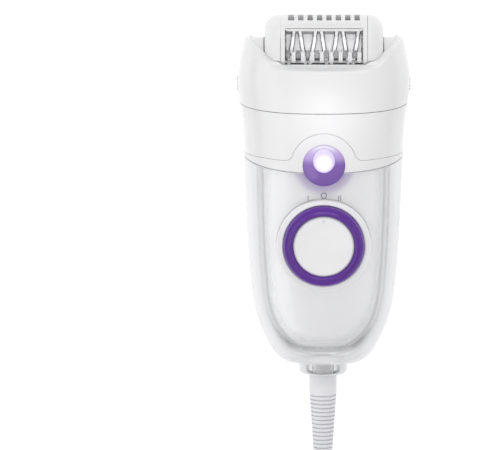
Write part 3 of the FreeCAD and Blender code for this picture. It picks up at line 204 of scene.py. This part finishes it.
def moulded(name, colour, roughness, grain=0.0, coat=0.0, metal=0.0, specular=0.5, mottle=0.03):
    """A moulded or metal surface: faint mottling in colour and gloss, and a fine grain in the surface."""
    material = bpy.data.materials.new(name)
    material.use_nodes = True
    tree = material.node_tree
    shader = tree.nodes["Principled BSDF"]
    shader.inputs["Metallic"].default_value = metal
    shader.inputs["Coat Weight"].default_value = coat
    shader.inputs["Coat Roughness"].default_value = COAT_ROUGHNESS
    shader.inputs["Specular IOR Level"].default_value = specular
    where = tree.nodes.new("ShaderNodeTexCoord")
    cloud = node(tree, "ShaderNodeTexNoise", Scale=MOTTLE_SCALE, Detail=3.0)
    tree.links.new(where.outputs["Object"], cloud.inputs["Vector"])
    tint = tree.nodes.new("ShaderNodeValToRGB")
    dark = [max(0.0, value * (1 - mottle)) for value in colour]
    light = [min(1.0, value * (1 + mottle)) for value in colour]
    tint.color_ramp.elements[0].position = 0.3
    tint.color_ramp.elements[0].color = (*dark, 1)
    tint.color_ramp.elements[1].position = 0.7
    tint.color_ramp.elements[1].color = (*light, 1)
    tree.links.new(cloud.outputs["Fac"], tint.inputs[0])
    tree.links.new(tint.outputs[0], shader.inputs["Base Color"])
    gloss = node(tree, "ShaderNodeMapRange")
    gloss.inputs["To Min"].default_value = roughness * 0.85
    gloss.inputs["To Max"].default_value = min(1.0, roughness * 1.2)
    tree.links.new(cloud.outputs["Fac"], gloss.inputs["Value"])
    tree.links.new(gloss.outputs[0], shader.inputs["Roughness"])
    if grain > 0:
        speck = node(tree, "ShaderNodeTexNoise", Scale=GRAIN_SCALE, Detail=2.0)
        tree.links.new(where.outputs["Object"], speck.inputs["Vector"])
        bump = node(tree, "ShaderNodeBump", Strength=grain, Distance=GRAIN_HEIGHT)
        tree.links.new(speck.outputs["Fac"], bump.inputs["Height"])
        tree.links.new(bump.outputs[0], shader.inputs["Normal"])
    return material


# How milky the clear plastic is, from looked at squarely (0) to looked along (1).
CLEAR_HAZE = [(0.0, 0.03), (0.13, 0.07), (0.22, 0.42), (0.34, 0.90)]
# Painted light: how strongly the milky part of the clear plastic glows, though it is no lamp.
CLEAR_PAINTED_GLOW = 0.10


def clear_plastic(name):
    """Thick clear moulding: clear looked at squarely, and milky and glossy the flatter it is looked along.
    Its milky part also gives off a little painted light.
    """
    material = moulded(name, (0.72, 0.722, 0.73), 0.12, coat=0.1, mottle=0.01)
    tree = material.node_tree
    milky = tree.nodes["Principled BSDF"]
    # The milky part's painted glow.
    milky.inputs["Emission Color"].default_value = (0.98, 0.985, 1.0, 1)
    milky.inputs["Emission Strength"].default_value = CLEAR_PAINTED_GLOW
    output = tree.nodes["Material Output"]
    through = tree.nodes.new("ShaderNodeBsdfTransparent")
    through.inputs["Color"].default_value = (1, 1, 1, 1)
    slant = node(tree, "ShaderNodeLayerWeight", Blend=0.5)
    haze_share = ramp_of(tree, [(slope, (share,) * 3) for slope, share in CLEAR_HAZE])
    haze = tree.nodes.new("ShaderNodeMixShader")
    mirror = node(tree, "ShaderNodeBsdfAnisotropic", Roughness=0.05, Color=(0.72, 0.72, 0.73, 1))
    edge = node(tree, "ShaderNodeFresnel", IOR=1.45)
    gloss = tree.nodes.new("ShaderNodeMixShader")
    tree.links.new(slant.outputs["Facing"], haze_share.inputs[0])
    tree.links.new(haze_share.outputs[0], haze.inputs[0])
    tree.links.new(through.outputs[0], haze.inputs[1])
    tree.links.new(milky.outputs[0], haze.inputs[2])
    tree.links.new(edge.outputs[0], gloss.inputs[0])
    tree.links.new(haze.outputs[0], gloss.inputs[1])
    tree.links.new(mirror.outputs[0], gloss.inputs[2])
    tree.links.new(gloss.outputs[0], output.inputs["Surface"])
    return material


def fade(material, centre, axes, stops, emission=None):
    """Replaces a finish's colour by a ramp over the scaled distance from a centre. It may glow too."""
    tree = material.node_tree
    shader = tree.nodes["Principled BSDF"]
    where = tree.nodes.new("ShaderNodeTexCoord")
    shift = tree.nodes.new("ShaderNodeVectorMath")
    shift.operation = "SUBTRACT"
    shift.inputs[1].default_value = centre
    scale = tree.nodes.new("ShaderNodeVectorMath")
    scale.operation = "MULTIPLY"
    scale.inputs[1].default_value = axes
    length = tree.nodes.new("ShaderNodeVectorMath")
    length.operation = "LENGTH"
    tree.links.new(where.outputs["Object"], shift.inputs[0])
    tree.links.new(shift.outputs[0], scale.inputs[0])
    tree.links.new(scale.outputs[0], length.inputs[0])
    ramp = ramp_of(tree, stops)
    tree.links.new(length.outputs["Value"], ramp.inputs[0])
    tree.links.new(ramp.outputs[0], shader.inputs["Base Color"])
    if emission is not None:
        glow = ramp_of(tree, emission)
        tree.links.new(length.outputs["Value"], glow.inputs[0])
        tree.links.new(glow.outputs[0], shader.inputs["Emission Color"])
        shader.inputs["Emission Strength"].default_value = 1.0
    return material


def ramp_of(tree, stops):
    ramp = tree.nodes.new("ShaderNodeValToRGB")
    ramp.color_ramp.interpolation = "EASE"
    elements = ramp.color_ramp.elements
    for extra in range(len(stops) - 2):
        elements.new(0.5)
    for element, (position, colour) in zip(elements, stops):
        element.position = position
        element.color = (*colour, 1)
    return ramp


def bezel_finish():
    """Lilac that pales to white at its upper edge, where the lamp shines through it."""
    low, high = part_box("light_bezel")
    start = (0, low.y, 0)
    reach = 1 / (high.y - low.y)
    stops = [(0.0, (0.17, 0.075, 0.36)), (0.5, (0.17, 0.075, 0.36)), (0.75, (0.40, 0.30, 0.58)),
             (0.97, (0.66, 0.62, 0.76))]
    glow = [(0.35, (0.0, 0.0, 0.0)), (0.70, (0.02, 0.01, 0.03)), (1.0, (0.07, 0.06, 0.09))]
    return fade(moulded("bezel", (0.23, 0.12, 0.43), 0.2, coat=0.6), start, (0, reach, 0), stops, glow)


def lens_finish():
    """The lit lens: white in the middle and lilac at its rim."""
    low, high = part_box("light_lens")
    centre = (0, (low.y + high.y) / 2 - 0.9 * MM, 0)
    axes = (2 / (high.x - low.x), 2 / (high.y - low.y), 0)
    stops = [(0.0, (0.9, 0.9, 0.9)), (1.0, (0.62, 0.55, 0.75))]
    glow = [(0.2, (0.7, 0.7, 0.7)), (0.5, (0.25, 0.23, 0.3)), (0.85, (0.06, 0.03, 0.12)),
            (1.0, (0.0, 0.0, 0.05))]
    return fade(moulded("lens", (0.9, 0.9, 0.9), 0.12, coat=0.6), centre, axes, stops, glow)


def core_with_painted_light():
    """The white core, with a painted lilac reflection of the lamp's bezel close by it, and a painted glow of
    its own all over it, a little weaker by the bezel.
    """
    low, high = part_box("light_bezel")
    centre = (0, (low.y + high.y) / 2, 0)
    reach = 1 / (24 * MM)
    white = (0.86, 0.86, 0.865)
    # Colour: a painted lilac reflection of the bezel close to it, fading out to the core's own white.
    stops = [(0.30, (0.50, 0.41, 0.66)), (0.37, (0.64, 0.58, 0.74)), (0.48, white), (1.0, white)]
    # Emission: painted light all over the core, for light the clear shell round it would gather. It is weaker
    # close to the bezel.
    lit = (0.24, 0.24, 0.242)
    glow = [(0.30, (0.10, 0.08, 0.15)), (0.42, (0.14, 0.13, 0.17)), (0.52, lit), (1.0, lit)]
    return fade(moulded("core_white", white, 0.3), centre, (reach, reach, 0), stops, glow)


def glowing(material, strength):
    """Adds a little light of its own, for what a white piece gathers from the pale ones round it."""
    shader = material.node_tree.nodes["Principled BSDF"]
    shader.inputs["Emission Color"].default_value = (1, 1, 1, 1)
    shader.inputs["Emission Strength"].default_value = strength
    return material


def make_materials():
    return {
        "gloss_white": moulded("gloss_white", (0.73, 0.73, 0.735), 0.22, coat=0.4, mottle=0.01),
        "core_white": core_with_painted_light(),
        # lit_white glows with painted light, for light gathered from the clear plastic round it.
        "lit_white": glowing(moulded("lit_white", (0.78, 0.78, 0.785), 0.3, mottle=0.015), 0.22),
        "soft_white": moulded("soft_white", (0.73, 0.73, 0.735), 0.38, grain=0.25, mottle=0.015),
        "clear": clear_plastic("clear"),
        "dial_white": moulded("dial_white", (0.77, 0.77, 0.775), 0.38, grain=0.25, mottle=0.015),
        # collar_white glows faintly with painted light.
        "collar_white": glowing(moulded("collar_white", (0.77, 0.77, 0.775), 0.38, mottle=0.015), 0.05),
        "purple": moulded("purple", (0.088, 0.010, 0.262), 0.24, coat=0.3, specular=0.4, mottle=0.05),
        "bezel": bezel_finish(),
        "lens": lens_finish(),
        "print": moulded("print", (0.16, 0.16, 0.17), 0.5, mottle=0.1),
        # disc_white glows with painted light, which brightens the discs in the shaded window of the cap.
        "disc_white": glowing(moulded("disc_white", (0.88, 0.88, 0.89), 0.35, grain=0.3, mottle=0.02), 0.35),
        "blade": moulded("blade", (0.30, 0.30, 0.32), 0.3, metal=1.0, grain=0.4, mottle=0.1),
        "steel": moulded("steel", (0.62, 0.62, 0.64), 0.28, metal=1.0, grain=0.4, mottle=0.05),
        "nickel": moulded("nickel", (0.8, 0.8, 0.8), 0.12, metal=1.0, mottle=0.03),
        "brass": moulded("brass", (0.72, 0.52, 0.22), 0.25, metal=1.0, grain=0.3),
        "black": moulded("black", (0.02, 0.02, 0.022), 0.4, grain=0.5),
        "gear": moulded("gear", (0.78, 0.77, 0.72), 0.4, grain=0.3),
        "board": moulded("board", (0.02, 0.16, 0.06), 0.4, grain=0.5, mottle=0.15),
        "parts": moulded("parts", (0.05, 0.05, 0.06), 0.35, grain=0.3),
        "frame": moulded("frame", (0.62, 0.62, 0.64), 0.5, grain=0.5),
        "roller": moulded("roller", (0.30, 0.30, 0.31), 0.5, grain=0.6, mottle=0.3),
        "wire": moulded("wire", (0.45, 0.03, 0.03), 0.45, grain=0.2),
        "cord": moulded("cord", (0.74, 0.74, 0.76), 0.42, grain=0.12, mottle=0.03),
        "relief": moulded("relief", (0.72, 0.72, 0.74), 0.4, grain=0.3, mottle=0.03),
        "adapter": moulded("adapter", (0.78, 0.78, 0.8), 0.4, grain=0.5, mottle=0.02),
        "tie": moulded("tie", (0.03, 0.03, 0.035), 0.6, grain=0.6),
    }


# ---------------------------------------------------------------- mesh helpers


def piece(name, mesh, body, material):
    """A smooth piece of the looks that rides on a body, from a mesh or a curve."""
    item = bpy.data.objects.new(name, mesh)
    SCENE.collection.objects.link(item)
    if hasattr(mesh, "polygons"):
        for face in mesh.polygons:
            face.use_smooth = True
    item.data.materials.append(material)
    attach(item, body)
    return item


# ---------------------------------------------------------------- cord

CORD_RADIUS = 2.0
LEAD_ROUTE = [(0, -92.55, 14.2), (0.3, -102.3, 12.8), (2.3, -113.5, 4.8), (4.4, -124, 2)]
TAIL_ROUTE = [(4.3, -146, 12.8), (2.2, -157.5, 7.0), (2.6, -168.6, 2.6), (10.8, -176.8, 2)]
TAIL_ROUTE += [(22.0, -176.4, 2.2), (29.6, -168.0, 4.4), (29.0, -157.2, 7.0)]
COIL_CENTRE = (-22.0, -135.0)
COIL_RADII = (26.0, 22.0, 18.0)
COIL_LAYERS = 4
COIL_STEPS = 16
COIL_STEP_OVER = 0.25


def coil_points():
    """Turns wound in and out, layer on layer. The last part of each turn steps over to the next."""
    points = []
    turns = []
    for layer in range(COIL_LAYERS):
        order = COIL_RADII if layer % 2 == 0 else COIL_RADII[::-1]
        turns += [(radius, CORD_RADIUS * (2 * layer + 1)) for radius in order]
    for number, (radius, height) in enumerate(turns):
        next_radius, next_height = turns[min(number + 1, len(turns) - 1)]
        for step in range(COIL_STEPS):
            share = step / COIL_STEPS
            ease = max(0.0, (share - 1 + COIL_STEP_OVER) / COIL_STEP_OVER)
            reach = radius + (next_radius - radius) * ease
            angle = -2 * math.pi * share
            x = COIL_CENTRE[0] + reach * math.cos(angle)
            y = COIL_CENTRE[1] + reach * math.sin(angle)
            points.append((x, y, height + (next_height - height) * ease))
    points.append((COIL_CENTRE[0] + COIL_RADII[0], COIL_CENTRE[1], turns[-1][1]))
    return points


def make_cord(materials):
    route = LEAD_ROUTE + coil_points() + TAIL_ROUTE
    data = bpy.data.curves.new("cord", "CURVE")
    data.dimensions = "3D"
    data.bevel_depth = CORD_RADIUS * MM
    data.bevel_resolution = 5
    data.resolution_u = 6
    data.use_fill_caps = True
    line = data.splines.new("NURBS")
    line.points.add(len(route) - 1)
    for point, (x, y, z) in zip(line.points, route):
        point.co = (x * MM, y * MM, z * MM, 1)
    line.order_u = 3
    line.use_endpoint_u = True
    cord = piece("cord", data, "cord_set", materials["cord"])
    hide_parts("cord_lead", "cord_coil", "cord_tail")


# ---------------------------------------------------------------- dial

DIAL_STATION = (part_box("dial_ring")[0].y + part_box("dial_ring")[1].y) / 2
DIAL_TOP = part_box("dial_ring")[1].z / MM
SMOOTH_STEPS = 144
KNURL_STEPS = 6
KNURLS = 120
KNURL_SPAN = math.radians(50)
KNURL_DEPTH = 0.14

# Corners as (radius, height below the dial's top), from the bore over the top to the outside.
RING_OUTLINE = [(10.66, 4.6), (10.66, 1.35), (10.8, 0.75), (11.2, 0.2), (11.6, 0.0), (11.95, 0.2),
                (12.2, 0.55), (12.9, 0.62), (13.1, 0.5), (13.3, 0.42), (13.5, 0.55), (13.85, 1.3),
                (14.05, 2.1), (14.05, 4.6)]
COLLAR_OUTLINE = [(14.12, 8.6), (14.12, 3.0), (14.25, 2.62), (14.6, 2.5), (15.0, 2.62), (15.5, 2.72),
                  (15.85, 2.62), (16.1, 2.6), (16.26, 2.75), (16.3, 3.0), (16.3, 8.6)]

# The corners of the ring's outline that its fine ribs cross.
FIRST_RIDGE_CORNER = 2
LAST_RIDGE_CORNER = 11


def turned_mesh(name, outline, steps, lower=None):
    """A closed ring about the dial's axis. lower says how far a corner sinks at an angle."""
    vertices = []
    for step in range(steps):
        angle = 2 * math.pi * step / steps
        for number, (radius, depth) in enumerate(outline):
            sink = lower(number, angle, step) if lower else 0.0
            x = radius * MM * math.cos(angle)
            y = DIAL_STATION + radius * MM * math.sin(angle)
            vertices.append((x, y, (DIAL_TOP - depth - sink) * MM))
    count = len(outline)
    faces = []
    for step in range(steps):
        first = step * count
        after = ((step + 1) % steps) * count
        for number in range(count):
            other = (number + 1) % count
            faces.append((first + number, after + number, after + other, first + other))
    mesh = bpy.data.meshes.new(name)
    mesh.from_pydata(vertices, [], faces)
    tidy_normals(mesh)
    return mesh


def tidy_normals(mesh):
    work = bmesh.new()
    work.from_mesh(mesh)
    bmesh.ops.recalc_face_normals(work, faces=work.faces)
    work.to_mesh(mesh)
    work.free()


def knurl(number, angle, step):
    """Fine ribs across both ridges of the ring, on its left and right stretches."""
    from_right = abs(math.remainder(angle, 2 * math.pi))
    from_side = min(from_right, math.pi - from_right)
    on_ridge = FIRST_RIDGE_CORNER <= number <= LAST_RIDGE_CORNER
    if not on_ridge or from_side > KNURL_SPAN:
        return 0.0
    return KNURL_DEPTH if step % KNURL_STEPS < KNURL_STEPS // 2 else 0.0


def make_dial(materials):
    ring_mesh = turned_mesh("dial_grip_ring", RING_OUTLINE, KNURLS * KNURL_STEPS, knurl)
    ring = piece("dial_grip_ring", ring_mesh, "dial", materials["purple"])
    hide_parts("dial_ring")
    collar_mesh = turned_mesh("dial_surround", COLLAR_OUTLINE, SMOOTH_STEPS)
    collar = piece("dial_surround", collar_mesh, "housing", materials["collar_white"])
    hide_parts("dial_collar")


# ---------------------------------------------------------------- dial marks

MARK_HEIGHT = 2.0
MARK_STROKE = 0.27
MARK_THICK = 0.05
MARK_SPREAD = 5.45
MARK_STATION = 65.8
ZERO_STATION = 66.8
ZERO_RADIUS = 0.92
ZERO_STEPS = 36
BAR_SPACE = 0.68
BAR_STEPS = 16
BAR_INNER_SHARE = 0.1
PRINT_LIFT = 0.005
RAY_START = 100


def shell_height(tree, x, y):
    """The height of the clear shell's outside above a point of the floor."""
    hit = tree.ray_cast(Vector((x, y, RAY_START * MM)), Vector((0, 0, -1)))
    if hit[0] is None:
        raise RuntimeError("a mark at %.2f, %.2f mm misses the shell" % (x / MM, y / MM))
    return hit[0].z


def flat_shape(name, outline, inner, tree):
    """A thin print that lies on the shell: a strip between two outlines of equal length."""
    vertices = []
    for lift in (PRINT_LIFT, PRINT_LIFT + MARK_THICK):
        for point in outline + inner:
            vertices.append((point.x, point.y, shell_height(tree, point.x, point.y) + lift * MM))
    count = len(outline)
    layer = 2 * count
    faces = []
    for number in range(count):
        after = (number + 1) % count
        faces.append((layer + number, layer + after, layer + count + after, layer + count + number))
        faces.append((number, count + number, count + after, after))
        faces.append((number, after, layer + after, layer + number))
        faces.append((count + number, layer + count + number, layer + count + after, count + after))
    mesh = bpy.data.meshes.new(name)
    mesh.from_pydata(vertices, [], faces)
    tidy_normals(mesh)
    return mesh


def bar_outlines(x, station):
    """Outside and middle line of an upright bar with rounded ends."""
    outer = []
    inner = []
    half = MARK_HEIGHT / 2 - MARK_STROKE / 2
    for step in range(BAR_STEPS):
        angle = 2 * math.pi * step / BAR_STEPS
        end = half if math.sin(angle) >= 0 else -half
        across = MARK_STROKE / 2 * math.cos(angle)
        along = MARK_STROKE / 2 * math.sin(angle)
        outer.append(place(x + across, station + end + along, 0))
        inner.append(place(x + across * BAR_INNER_SHARE, station + end + along * BAR_INNER_SHARE, 0))
    return outer, inner


def zero_outline(radius):
    """A circle about the middle of the mark O."""
    outline = []
    for step in range(ZERO_STEPS):
        angle = 2 * math.pi * step / ZERO_STEPS
        outline.append(place(radius * math.cos(angle), ZERO_STATION + radius * math.sin(angle), 0))
    return outline


def make_marks(materials):
    """The marks O, I and II, printed on the clear shell beside the dial."""
    shell = NODES["clear_shell"]
    corners = [vertex.co for vertex in shell.data.vertices]
    tree = BVHTree.FromPolygons(corners, [tuple(face.vertices) for face in shell.data.polygons])
    half_stroke = MARK_STROKE / 2
    shapes = {
        "mark_off": (zero_outline(ZERO_RADIUS + half_stroke), zero_outline(ZERO_RADIUS - half_stroke)),
        "mark_one": bar_outlines(-MARK_SPREAD, MARK_STATION),
        "mark_two_left": bar_outlines(MARK_SPREAD - BAR_SPACE / 2, MARK_STATION),
        "mark_two_right": bar_outlines(MARK_SPREAD + BAR_SPACE / 2, MARK_STATION),
    }
    for name, (outer, inner) in shapes.items():
        piece(name, flat_shape(name, outer, inner, tree), "housing", materials["print"])


# ---------------------------------------------------------------- cap details

CAP_RADIUS = 10.5
AXLE_RADIUS = 1.2
CAP_AXIS = (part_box("cap_frame")[1].y - CAP_RADIUS * MM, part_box("drum_axle")[0].z + AXLE_RADIUS * MM)

BAR_RADIUS = 0.42
BAR_SINK = 0.35
BAR_ANGLE = 39.3
BAR_HALF = 13.4
BAR_STATIONS = 28
BAR_CORNERS = 10
BAR_BEND = 2.0
BAR_BEND_FROM = 0.94

RIB_COUNT = 16
RIB_PITCH = 1.588
RIB_ANGLE = 53.0
RIB_SINK = 0.12
RIB_SIZE = (0.58, 1.15, 0.42)


def on_cap(x, radius, angle):
    """A point about the drum's axis. Angles run from the front towards the top of the head."""
    turn = math.radians(angle)
    along = CAP_AXIS[0] + radius * MM * math.sin(turn)
    height = CAP_AXIS[1] + radius * MM * math.cos(turn)
    return Vector((x * MM, along, height))


def make_window_bar(materials):
    """The bright rounded bar along the window's upper edge, bent in at its ends."""
    work = bmesh.new()
    rings = []
    for step in range(BAR_STATIONS + 1):
        share = 2 * step / BAR_STATIONS - 1
        bend = BAR_BEND * max(0.0, abs(share) - BAR_BEND_FROM) / (1 - BAR_BEND_FROM)
        centre = on_cap(BAR_HALF * share, CAP_RADIUS - BAR_SINK, BAR_ANGLE + bend)
        ring = []
        for corner in range(BAR_CORNERS):
            angle = 2 * math.pi * corner / BAR_CORNERS
            offset = Vector((0, math.cos(angle), math.sin(angle))) * BAR_RADIUS * MM
            ring.append(work.verts.new(centre + offset))
        rings.append(ring)
    for one, two in zip(rings, rings[1:]):
        for corner in range(BAR_CORNERS):
            after = (corner + 1) % BAR_CORNERS
            work.faces.new((one[corner], one[after], two[after], two[corner]))
    work.faces.new(rings[0])
    work.faces.new(list(reversed(rings[-1])))
    bmesh.ops.recalc_face_normals(work, faces=work.faces)
    mesh = bpy.data.meshes.new("window_bar")
    work.to_mesh(mesh)
    work.free()
    piece("window_bar", mesh, "cap", materials["gloss_white"])


def make_comb_ribs(materials):
    """Low ribs on the strip between the window and the far comb."""
    work = bmesh.new()
    first = -RIB_PITCH * (RIB_COUNT - 1) / 2
    for number in range(RIB_COUNT):
        centre = on_cap(first + RIB_PITCH * number, CAP_RADIUS - RIB_SINK, RIB_ANGLE)
        turn = Matrix.Rotation(math.radians(-RIB_ANGLE), 4, "X")
        shape = Matrix.Diagonal([half * MM for half in RIB_SIZE] + [1])
        bmesh.ops.create_uvsphere(work, u_segments=14, v_segments=10, radius=1.0,
                                  matrix=Matrix.Translation(centre) @ turn @ shape)
    mesh = bpy.data.meshes.new("comb_ribs")
    work.to_mesh(mesh)
    work.free()
    piece("comb_ribs", mesh, "cap", materials["soft_white"])


# ---------------------------------------------------------------- release springs


def make_release_springs(materials):
    """The bowed springs behind the release buttons, each copied into a leaf piece of its own that rides on
    the head; they are not flattened here.
    """
    presses = [joint for joint in frame["joints"] if joint["name"].startswith("release_")]
    for joint in presses:
        shape = joint["deforming_nodes"][0]
        name = shape["node"]
        mesh = NODES[name].data.copy()
        leaf = piece(name.replace("spring", "leaf"), mesh, "head", materials["steel"])
        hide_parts(name)
        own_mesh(leaf)


# ---------------------------------------------------------------- CAD nodes

FINISHES = {
    "gloss_white": ["light_panel", "upper_housing", "head_housing",
                    "release_button_left", "release_button_right"],
    "core_white": ["inner_panel"],
    "lens": ["light_lens"],
    "lit_white": ["rear_shell", "inlet_socket"],
    "soft_white": ["shoulder_insert", "cap_frame", "cap_wing_left", "cap_wing_right"],
    "dial_white": ["dial_disc"],
    "clear": ["clear_shell", "end_ring", "lamp_diode"],
    "bezel": ["light_bezel"],
    "disc_white": ["tweezer_discs", "drum_core"],
    "blade": ["tweezer_blades"],
    "steel": ["housing_screws", "head_screws", "detent_spring", "drum_axle", "cross_shaft", "motor_shaft",
              "motor_can"],
    "nickel": ["inlet_pins", "adapter_pins"],
    "brass": ["motor_pinion", "drum_bushes"],
    "black": ["motor_end_cap", "switch_body", "switch_slider"],
    "gear": ["drum_gear", "idler_gear", "output_gear", "cross_gear", "crown_gear"],
    "board": ["circuit_board"],
    "parts": ["board_parts"],
    "frame": ["gear_frame", "drive_deck", "head_base", "head_frame", "dial_hub"],
    "roller": ["front_roller", "rear_roller"],
    "wire": ["internal_leads"],
    "relief": ["strain_relief"],
    "adapter": ["adapter_case"],
    "tie": ["cord_tie"],
}


def finish_nodes(materials):
    for finish, names in FINISHES.items():
        for name in names:
            data = NODES[name].data
            data.materials.clear()
            data.materials.append(materials[finish])


def main():
    SCENE.view_settings.view_transform = "Standard"
    make_camera()
    materials = make_materials()
    make_cord(materials)
    make_dial(materials)
    make_marks(materials)
    make_window_bar(materials)
    make_comb_ribs(materials)
    finish_nodes(materials)
    make_release_springs(materials)
    make_world()
    make_floor()
    make_lights()


main()
